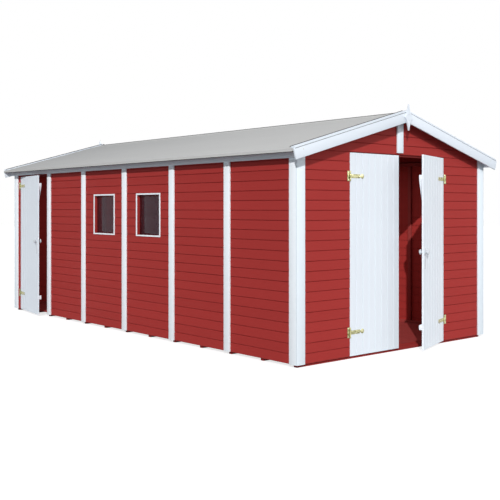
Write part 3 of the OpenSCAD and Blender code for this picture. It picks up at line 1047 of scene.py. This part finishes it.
@dataclass
class Roof:
    """Roof boards, felt, bargeboards, rake caps and finials."""

    paints: Paints
    form: RoofForm
    felt_fold: float = 0.003
    fold_drop: float = 0.021
    ridge_strip: float = 0.16
    strip_thickness: float = 0.0016
    lip: float = 0.005
    lip_sink: float = 0.002
    lip_rise: float = 0.004
    line_depth: float = 0.003
    ridge_half: float = 0.012
    ridge_rise: float = 0.0035
    hollow: float = 0.2
    finial_cuts: int = 7
    rake_screw_in: float = 0.12
    rake_screw_drop: float = 0.012
    finial_screw_rise: float = 0.03

    def build(self) -> None:
        """Build both slopes and the trim of both gables."""
        for side, name in ((-1, "window_side"), (1, "back_side")):
            self.build_boards(side, name)
            self.build_felt(side, name)
        self.build_ridge()
        self.build_edges()
        self.build_finials()
        rakes = {
            "front_bargeboards": "front_barge_boards",
            "rear_bargeboards": "rear_barge_boards",
            "front_rake_caps": "front_cap_boards",
            "rear_rake_caps": "rear_cap_boards",
        }
        for node, name in rakes.items():
            self.paints.fit(timber_of(node, name, 0.0025), "white_rake", "white_trim", [node])
        self.build_screws()

    def build_boards(self, side: int, name: str) -> None:
        """Lay tongued boards from the ridge to the eave, grooved face down.

        Args:
            side: -1 for the window side, 1 for the other.
            name: The slope's name.
        """
        form = self.form
        thickness = form.board_rise * math.cos(form.pitch)
        reach = form.half_width / math.cos(form.pitch) + 0.02
        boards = TonguedBoards(cover=DECK)
        low, high = Vector((-form.end, -0.01, 0)), Vector((form.end, reach, thickness))
        obj = boards.panel(f"{name}_roof_deck", low, high, -UP, ALONG_X, -form.end)
        place(obj, form.slope(side))
        outward = ALONG_Y * side
        saw(obj, outward * EPS, -outward)
        saw(obj, outward * (form.half_width - self.felt_fold - EPS), outward)
        self.paints.fit(obj, "roof_underside", "roof_boards", [f"{name}_roof_boards"])

    def build_felt(self, side: int, name: str) -> None:
        """Fold the felt over the edge of the roof boards at the eave.

        Args:
            side: -1 for the window side, 1 for the other.
            name: The slope's name.
        """
        obj = timber_of(f"{name}_felt", f"{name}_felt_sheet", 0.0002)
        fold = side * (self.form.half_width - self.felt_fold)

        def under_fold(face: bmesh.types.BMFace) -> bool:
            """Whether a face is on the underside, beyond the fold."""
            return face.normal.z < -0.9 and side * (face.calc_center_median().y - fold) > 0

        with editing(obj, "SELECT"):
            bpy.ops.mesh.bisect(plane_co=(0, fold, 0), plane_no=(0, 1, 0))
            pick(obj, Part.FACE, under_fold)
            extrude(Vector((0, 0, -self.fold_drop)))
        bevel(obj, 0.0006)
        self.paints.fit(obj, "felt", "roof_felt", [f"{name}_felt"])

    def build_ridge(self) -> None:
        """Lay a strip of felt over the ridge, lapping both slopes."""
        top = max(high.z for _, high in solids("window_side_felt"))
        above = (top - self.form.under_ridge) * math.cos(self.form.pitch) + EPS
        end = self.form.end - 0.0005
        low, high = Vector((-end, 0, 0)), Vector((end, self.ridge_strip, self.strip_thickness))
        parts = []
        for side in (-1, 1):
            part = place(block("ridge_strip", low, high), self.form.slope(side, above))
            saw(part, ALONG_Y * side * EPS / 10, ALONG_Y * -side)
            parts.append(part)
        obj = join(parts, "ridge_felt")
        bevel(obj, 0.0005)
        self.paints.fit(obj, "felt", "roof_felt")

    def above(self, node: str) -> float:
        """Height of a layer's top over the roof boards' underside, square to the slope."""
        return (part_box(node)[1].z - self.form.under_ridge) * math.cos(self.form.pitch)

    def build_edges(self) -> None:
        """Show the near-black strips that paint shade lines: turned up inside the caps, under them
        and on the ridge.
        """
        felt, cap = self.above("window_side_felt"), self.above("front_rake_caps")
        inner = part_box("front_rake_caps")[0].x
        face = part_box("front_bargeboards")[1].x
        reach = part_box("front_rake_caps")[1].y / math.cos(self.form.pitch) - self.lip
        # Painted shade: a dark lip inside each cap and a dark line under it at the bargeboard's
        # face.
        lines = (
            (inner - self.lip, inner - EPS, cap - self.lip_sink, cap + self.lip_rise),
            (face - self.lip, face + EPS * 6, felt - self.line_depth, felt),
        )
        parts = []
        for side in (-1, 1):
            for end in (-1, 1):
                for near, far, bottom, top in lines:
                    low, high = sorted((end * near, end * far))
                    part = block("edge", Vector((low, 0.0, bottom)), Vector((high, reach, top)))
                    parts.append(place(part, self.form.slope(side)))
        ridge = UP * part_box("window_side_felt")[1].z
        low = ridge - Vector((inner, self.ridge_half, self.lip_sink))
        high = ridge + Vector((inner, self.ridge_half, self.ridge_rise))
        parts.append(block("edge", low, high))
        for part in parts:
            bevel(part, 0.0008)
        self.paints.fit(join(parts, "felt_edges"), "bitumen", "roof_felt")

    def build_finials(self) -> None:
        """Draw in the four sides of each diamond, so that it ends in slim points."""
        obj = shape_of("finials", "finial_boards")
        low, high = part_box("finials")
        middle = (low.z + high.z) / 2
        half = (high.z - low.z) / 2
        cuts = self.finial_cuts
        with editing(obj):
            pick(obj, Part.EDGE, lambda edge: abs(edge.verts[0].co.z - edge.verts[1].co.z) > EPS)
            bpy.ops.mesh.subdivide(number_cuts=cuts)
            for step in range(1, cuts + 1):
                share = step / (cuts + 1)
                pick(obj, Part.VERT, lambda vert: abs(abs(vert.co.z - middle) - share * half) < EPS)
                ratio = 1 - self.hollow * math.sin(math.pi * share)
                bpy.ops.transform.resize(value=(1, ratio, ratio), center_override=(0, 0, middle))
        bevel(obj, 0.0008, 1)
        self.paints.fit(obj, "white_rake", "white_trim", ["finials"])

    def build_screws(self) -> None:
        """Screw the bargeboards near the eaves and the finials at the ridge."""
        heads = Screws(radius=0.005)
        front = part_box("front_bargeboards")[1]
        low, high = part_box("finials")
        middle = (low.z + high.z) / 2
        across = front.y - self.rake_screw_in
        rows = []
        for end in (-1, 1):
            spots = [
                Vector((end * front.x, y, self.form.under(y) - self.rake_screw_drop))
                for y in (-across, across)
            ]
            spots += [
                Vector((end * (high.x - heads.height), 0, middle + rise))
                for rise in (-self.finial_screw_rise, self.finial_screw_rise)
            ]
            rows.append(heads.row("rake_screws", spots, ALONG_X * end))
        self.paints.fit(join(rows, "rake_screws"), "screw", "hinge_zinc")


@dataclass
class Windows:
    """Fixed panes behind white beads, in openings lined in red."""

    paints: Paints
    bead_depth: float = 0.008
    bead_rounding: float = 0.002

    def build(self) -> None:
        """Build the beads, the red linings and the panes of both windows."""
        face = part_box("window_frames")[0].y + self.bead_depth
        beads, linings, panes = [], [], []
        for low, high in solids("window_frames"):
            bead = block("bead", low, Vector((high.x, face, high.z)))
            with editing(bead):
                pick(bead, Part.EDGE, lambda edge: all(v.co.y < face - EPS for v in edge.verts))
                bpy.ops.mesh.bevel(offset=self.bead_rounding, segments=3, affect="EDGES")
            beads.append(bead)
            lining = block("lining", Vector((low.x, face + EPS, low.z)), high)
            bevel(lining, 0.001)
            linings.append(lining)
        for low, high in solids("window_glass"):
            pane = block("pane", low, high)
            bevel(pane, 0.0008)
            panes.append(pane)
        fit = self.paints.fit
        fit(join(beads, "window_beads"), "white_side", "white_trim", ["window_frames"])
        fit(join(linings, "window_linings"), "window_lining", "red_boards")
        fit(join(panes, "window_panes"), "pane", "glass", ["window_glass"])


METAL = 0.003
PRESSED = 0.0006
STRAP_EYE = 0.023
STRAP_HOLES = ((0.04, 0.009), (0.085, -0.009), (0.13, 0.0))
KNOB_NECK = ((0.008, 0.0205), (0.0098, 0.010), (0.012, 0.009), (0.019, 0.009), (0.021, 0.012))
KNOB_CROWN = (
    (0.0245, 0.80), (0.028, 0.94), (0.031, 1.0), (0.0355, 0.97),
    (0.0395, 0.84), (0.0425, 0.62), (0.0442, 0.34), (0.0448, 0.1),
)


@dataclass
class LockSide:
    """The plate and the knob on one face of a leaf, in the door's own frame."""

    low: Vector
    high: Vector
    face: float
    out: int
    plate_half: float = 0.02
    corner: float = 0.012
    keyhole_height: float = 0.034
    keyhole_radius: float = 0.0045
    keyhole_depth: float = 0.002
    keyhole_slot: Vector = field(default_factory=lambda: Vector((0.0018, 0.0022, 0.015)))
    rose_radius: float = 0.022
    rose_top: float = 0.006

    def __post_init__(self) -> None:
        """Find the middle of the plate."""
        self.middle = (self.low.x + self.high.x) / 2

    def turned(self, sides: int, radius: float, depth: float, centre: Vector) -> Piece:
        """Add a cylinder that lies along Y.

        Args:
            sides: Number of its sides.
            radius: Its radius.
            depth: Its length.
            centre: Its middle.

        Returns:
            The cylinder, with its place in its mesh.
        """
        flat = (math.pi / 2, 0, 0)
        bpy.ops.mesh.primitive_cylinder_add(
            vertices=sides, radius=radius, depth=depth, location=centre, rotation=flat
        )
        bpy.ops.object.transform_apply()
        return bpy.context.active_object

    def plate(self) -> Piece:
        """Make a long plate with round corners and a keyhole.

        Returns:
            The plate.
        """
        near, far = sorted((self.face, self.face + self.out * METAL))
        low = Vector((self.middle - self.plate_half, near, self.low.z))
        plate = block("plate", low, Vector((self.middle + self.plate_half, far, self.high.z)))
        with editing(plate):
            pick(plate, Part.EDGE, lambda edge: abs(edge.verts[1].co.y - edge.verts[0].co.y) > EPS)
            bpy.ops.mesh.bevel(offset=self.corner, segments=5, affect="EDGES")
        bevel(plate, 0.0008)
        hole = Vector((self.middle, self.face + self.out * METAL, self.low.z + self.keyhole_height))
        cutter = self.turned(20, self.keyhole_radius, self.keyhole_depth * 2, hole)
        top = hole + self.keyhole_slot * Vector((1, 1, 0))
        for tool in (cutter, block("slot", hole - self.keyhole_slot, top)):
            modify(plate, "BOOLEAN", operation="DIFFERENCE", object=tool)
            bpy.data.objects.remove(tool)
        return plate

    def knob(self) -> Piece:
        """Turn a rose, a neck and a rounded knob out of one cylinder.

        Returns:
            The knob.
        """
        rim = (self.high.x - self.low.x) / 2
        rose_middle = self.face + self.out * (METAL + self.rose_top) / 2
        centre = Vector((self.middle, rose_middle, self.high.z - 0.04))
        obj = self.turned(40, self.rose_radius, self.rose_top - METAL, centre)
        at, radius = self.rose_top, self.rose_radius
        with editing(obj):
            pick(obj, Part.FACE, lambda side: side.normal.y * self.out > 0.99)
            for distance, wide in (*KNOB_NECK, *((y, share * rim) for y, share in KNOB_CROWN)):
                extrude(ALONG_Y * self.out * (distance - at))
                centre.y = self.face + self.out * distance
                bpy.ops.transform.resize(value=(wide / radius,) * 3, center_override=centre)
                at, radius = distance, wide
        bpy.ops.object.shade_smooth_by_angle(angle=math.radians(50))
        return obj


@dataclass
class Door:
    """One boarded door leaf with its ledges, strap hinges and lock, at its angle at rest."""

    paints: Paints
    prefix: str
    body: str
    joint: str
    heading: float
    turn: int
    mirrored: bool
    boards_across: int
    paint: str = "white_leaf"

    def __post_init__(self) -> None:
        """Work out the matrix from the door's own frame to the shed's.

        In its own frame the pin stands at the origin, the leaf runs along +X and faces -Y.
        """
        joint = next(row for row in frame["joints"] if row["name"] == self.joint)
        angle = math.radians(self.heading + self.turn * -joint["range_deg"][0])
        x, y, _ = joint["pos_m"]
        flip = Matrix.Diagonal((-1 if self.mirrored else 1, 1, 1, 1))
        self.matrix = Matrix.Translation((x, y, 0)) @ Matrix.Rotation(angle, 4, "Z") @ flip
        self.inverse = self.matrix.inverted()

    def own(self, part: str) -> list[Solid]:
        """Measure the solids of one of the door's nodes in the door's own frame."""
        return solids(f"{self.prefix}_{part}", self.inverse)

    def build(self) -> None:
        """Build the leaf and what is fixed to it."""
        self.build_leaf()
        node = f"{self.prefix}_ledges"
        obj = timber_of(node, f"{self.prefix}_ledge_boards")
        self.paints.fit(obj, self.paint, "white_door", [node], self.body)
        node = f"{self.prefix}_straps"
        obj = timber_of(node, f"{self.prefix}_strap_hinges", PRESSED)
        self.paints.fit(obj, "zinc", "hinge_zinc", [node], self.body)
        self.build_screws()
        if f"{self.prefix}_lock" in frame["nodes"]:
            self.build_lock()

    def build_leaf(self) -> None:
        """Board the leaf upright."""
        (low, high), = self.own("leaf")
        cover = (high.x - low.x) / self.boards_across
        boards = TonguedBoards(cover=cover, gap=0.006, chamfer=0.002)
        obj = boards.panel(f"{self.prefix}_leaf_boards", low, high, -ALONG_Y, ALONG_X, low.x)
        place(obj, self.matrix)
        self.paints.fit(obj, self.paint, "white_door", [f"{self.prefix}_leaf"], self.body)

    def build_screws(self) -> None:
        """Screw the straps to the leaf."""
        spots = []
        for low, high in self.own("straps"):
            holes = ((high.x - STRAP_EYE, 0.0), *STRAP_HOLES)
            spots += [Vector((x, high.y - METAL, (low.z + high.z) / 2 + rise)) for x, rise in holes]
        obj = Screws().row(f"{self.prefix}_strap_screws", spots, -ALONG_Y, self.matrix)
        self.paints.fit(obj, "screw", "hinge_zinc", body=self.body)

    def build_lock(self) -> None:
        """Fit a plate and a knob on both faces of the leaf."""
        (leaf_low, leaf_high), = self.own("leaf")
        parts = []
        for low, high in self.own("lock"):
            outer = low.y < leaf_low.y
            side = LockSide(low, high, leaf_low.y if outer else leaf_high.y, -1 if outer else 1)
            parts += [side.plate(), side.knob()]
        obj = place(join(parts, f"{self.prefix}_lock_set"), self.matrix)
        self.paints.fit(obj, "coat", "lock_white", [f"{self.prefix}_lock"], self.body)


@dataclass
class WallHinges:
    """The wall halves of the hinges, with their screws."""

    paints: Paints
    screw_in: float = 0.014
    screw_rise: float = 0.038

    def build(self) -> None:
        """Round the plates' edges and screw them to the trim."""
        obj = timber_of("hinge_plates", "wall_hinges", PRESSED)
        self.paints.fit(obj, "zinc", "hinge_zinc", ["hinge_plates"])
        spots = {True: [], False: []}
        for low, high in solids("hinge_plates"):
            on_gable = high.x > 0
            if on_gable:
                across = low.y + self.screw_in if low.y < 0 else high.y - self.screw_in
                spot = Vector((low.x + METAL, across, 0))
            else:
                spot = Vector((low.x + self.screw_in, high.y - METAL, 0))
            for rise in (-self.screw_rise, self.screw_rise):
                spots[on_gable].append(spot + UP * ((low.z + high.z) / 2 + rise))
        rows = [
            Screws().row("plate_screws", spots[on_gable], out)
            for on_gable, out in ((True, ALONG_X), (False, -ALONG_Y))
        ]
        self.paints.fit(join(rows, "plate_screws"), "screw", "hinge_zinc")


# ---- Camera, light and floor ----


@dataclass
class Studio:
    """A level camera, soft daylight and a white floor that keeps the shadow."""

    camera_at: Vector = field(default_factory=lambda: Vector((8.573, -6.865, 1.492)))
    camera_heading: float = 49.36
    lens: float = 60.28
    shift_up: float = -0.0846
    sun_travel: Vector = field(default_factory=lambda: Vector((-90, 95, -69)))
    sun_strength: float = 2.6
    fill_travel: Vector = field(default_factory=lambda: Vector((-80, -65, -25)))
    fill_strength: float = 0.8
    sky: float = 0.38
    sky_colour: Colour = (0.89, 0.955, 1.03)
    lantern_power: float = 27.0
    floor_bounce: Colour = (0.35, 0.37, 0.38)
    floor_shown: Colour = (0.42, 0.42, 0.42)
    floor_glow: float = 0.76

    def build(self) -> None:
        """Set up everything that isn't part of the shed."""
        self.add_camera()
        self.add_lamp("sun", self.sun_travel, self.sun_strength, 0.6)
        self.add_lamp("fill", self.fill_travel, self.fill_strength, 40)
        self.add_lantern()
        self.add_sky()
        self.add_floor()
        bpy.context.scene.view_settings.view_transform = "Standard"

    def stand(self, name: str, data: bpy.types.Camera | bpy.types.Light) -> Piece:
        """Put a camera or a lamp in the scene."""
        obj = bpy.data.objects.new(name, data)
        bpy.context.scene.collection.objects.link(obj)
        return obj

    def add_camera(self) -> None:
        """Place the camera."""
        data = bpy.data.cameras.new("camera")
        data.lens = self.lens
        data.shift_y = self.shift_up
        camera = self.stand("camera", data)
        camera.location = self.camera_at
        camera.rotation_euler = (math.pi / 2, 0, math.radians(self.camera_heading))
        bpy.context.scene.camera = camera

    def add_lamp(self, name: str, travel: Vector, strength: float, spread: float) -> None:
        """Add a sun lamp.

        Args:
            name: Name of the lamp.
            travel: The way that its light travels.
            strength: Its strength.
            spread: Its angular size in degrees.
        """
        data = bpy.data.lights.new(name, "SUN")
        data.energy = strength
        data.angle = math.radians(spread)
        self.stand(name, data).rotation_euler = travel.to_track_quat("-Z", "Y").to_euler()

    def add_lantern(self) -> None:
        """Hang a wide dim lamp under the ridge, so that the inside isn't black."""
        low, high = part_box("floor_deck")
        data = bpy.data.lights.new("lantern", "AREA")
        data.shape = "RECTANGLE"
        data.size, data.size_y = (high.x - low.x) * 0.9, (high.y - low.y) * 0.6
        data.energy = self.lantern_power
        lamp = self.stand("lantern", data)
        lamp.location = (0, 0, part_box("roof_purlins")[0].z - 0.02)
        lamp.visible_glossy = False
        lamp.visible_camera = False

    def add_sky(self) -> None:
        """Light evenly from all round, and show white behind the shed."""
        world = bpy.data.worlds.new("sky")
        bpy.context.scene.world = world
        graph = Graph(world)
        soft = graph.shade("ShaderNodeBackground", Color=(*self.sky_colour, 1), Strength=self.sky)
        white = graph.shade("ShaderNodeBackground", Color=(1, 1, 1, 1), Strength=1.0)
        graph.split(soft, white, "ShaderNodeOutputWorld")

    def add_floor(self) -> None:
        """Lay a wide white floor under the joists."""
        bpy.ops.mesh.primitive_circle_add(vertices=64, radius=60, fill_type="NGON")
        floor = bpy.context.active_object
        floor.name = "floor"
        material = bpy.data.materials.new("studio_floor")
        graph = Graph(material)
        bounce = graph.shade("ShaderNodeBsdfDiffuse", Color=(*self.floor_bounce, 1))
        shown = graph.shade("ShaderNodeBsdfDiffuse", Color=(*self.floor_shown, 1))
        glow = graph.shade("ShaderNodeEmission", Strength=self.floor_glow)
        bright = graph.add("ShaderNodeAddShader")
        graph.link(shown, bright.inputs[0])
        graph.link(glow, bright.inputs[1])
        graph.split(bounce, bright.outputs[0], "ShaderNodeOutputMaterial")
        floor.data.materials.append(material)
        floor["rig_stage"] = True


def main() -> None:
    """Build the shed and its studio."""
    bpy.ops.object.select_all(action="DESELECT")
    cad_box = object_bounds()
    Studio().build()
    boards = TonguedBoards()
    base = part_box("front_wall_left")[0].z
    paints = Paints(base, boards.cover)
    form = RoofForm()
    Walls(paints, form, boards).build()
    Timbers(paints).build()
    Trim(paints).build()
    Roof(paints, form).build()
    Windows(paints).build()
    WallHinges(paints).build()
    doors = [
        Door(paints, "left", "front_left_door", "front_left_hinge", 90, -1, False, 8),
        # The ajar right leaf wears the brighter copy of the white, which is painted light.
        Door(
            paints, "right", "front_right_door", "front_right_hinge", 90, 1, True, 8, "fresh_leaf"
        ),
        Door(paints, "side", "side_door", "side_door_hinge", 0, -1, False, 9),
    ]
    for door in doors:
        door.build()
    visual_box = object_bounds()
    boxes = {"cad": cad_box, "visual": visual_box}
    sizes = {name: [list(corner) for corner in box] for name, box in boxes.items()}
    log.info("visual box %s", sizes["visual"])


if __name__ == "__main__":
    logging.basicConfig(level=logging.INFO, format="%(message)s")
    main()
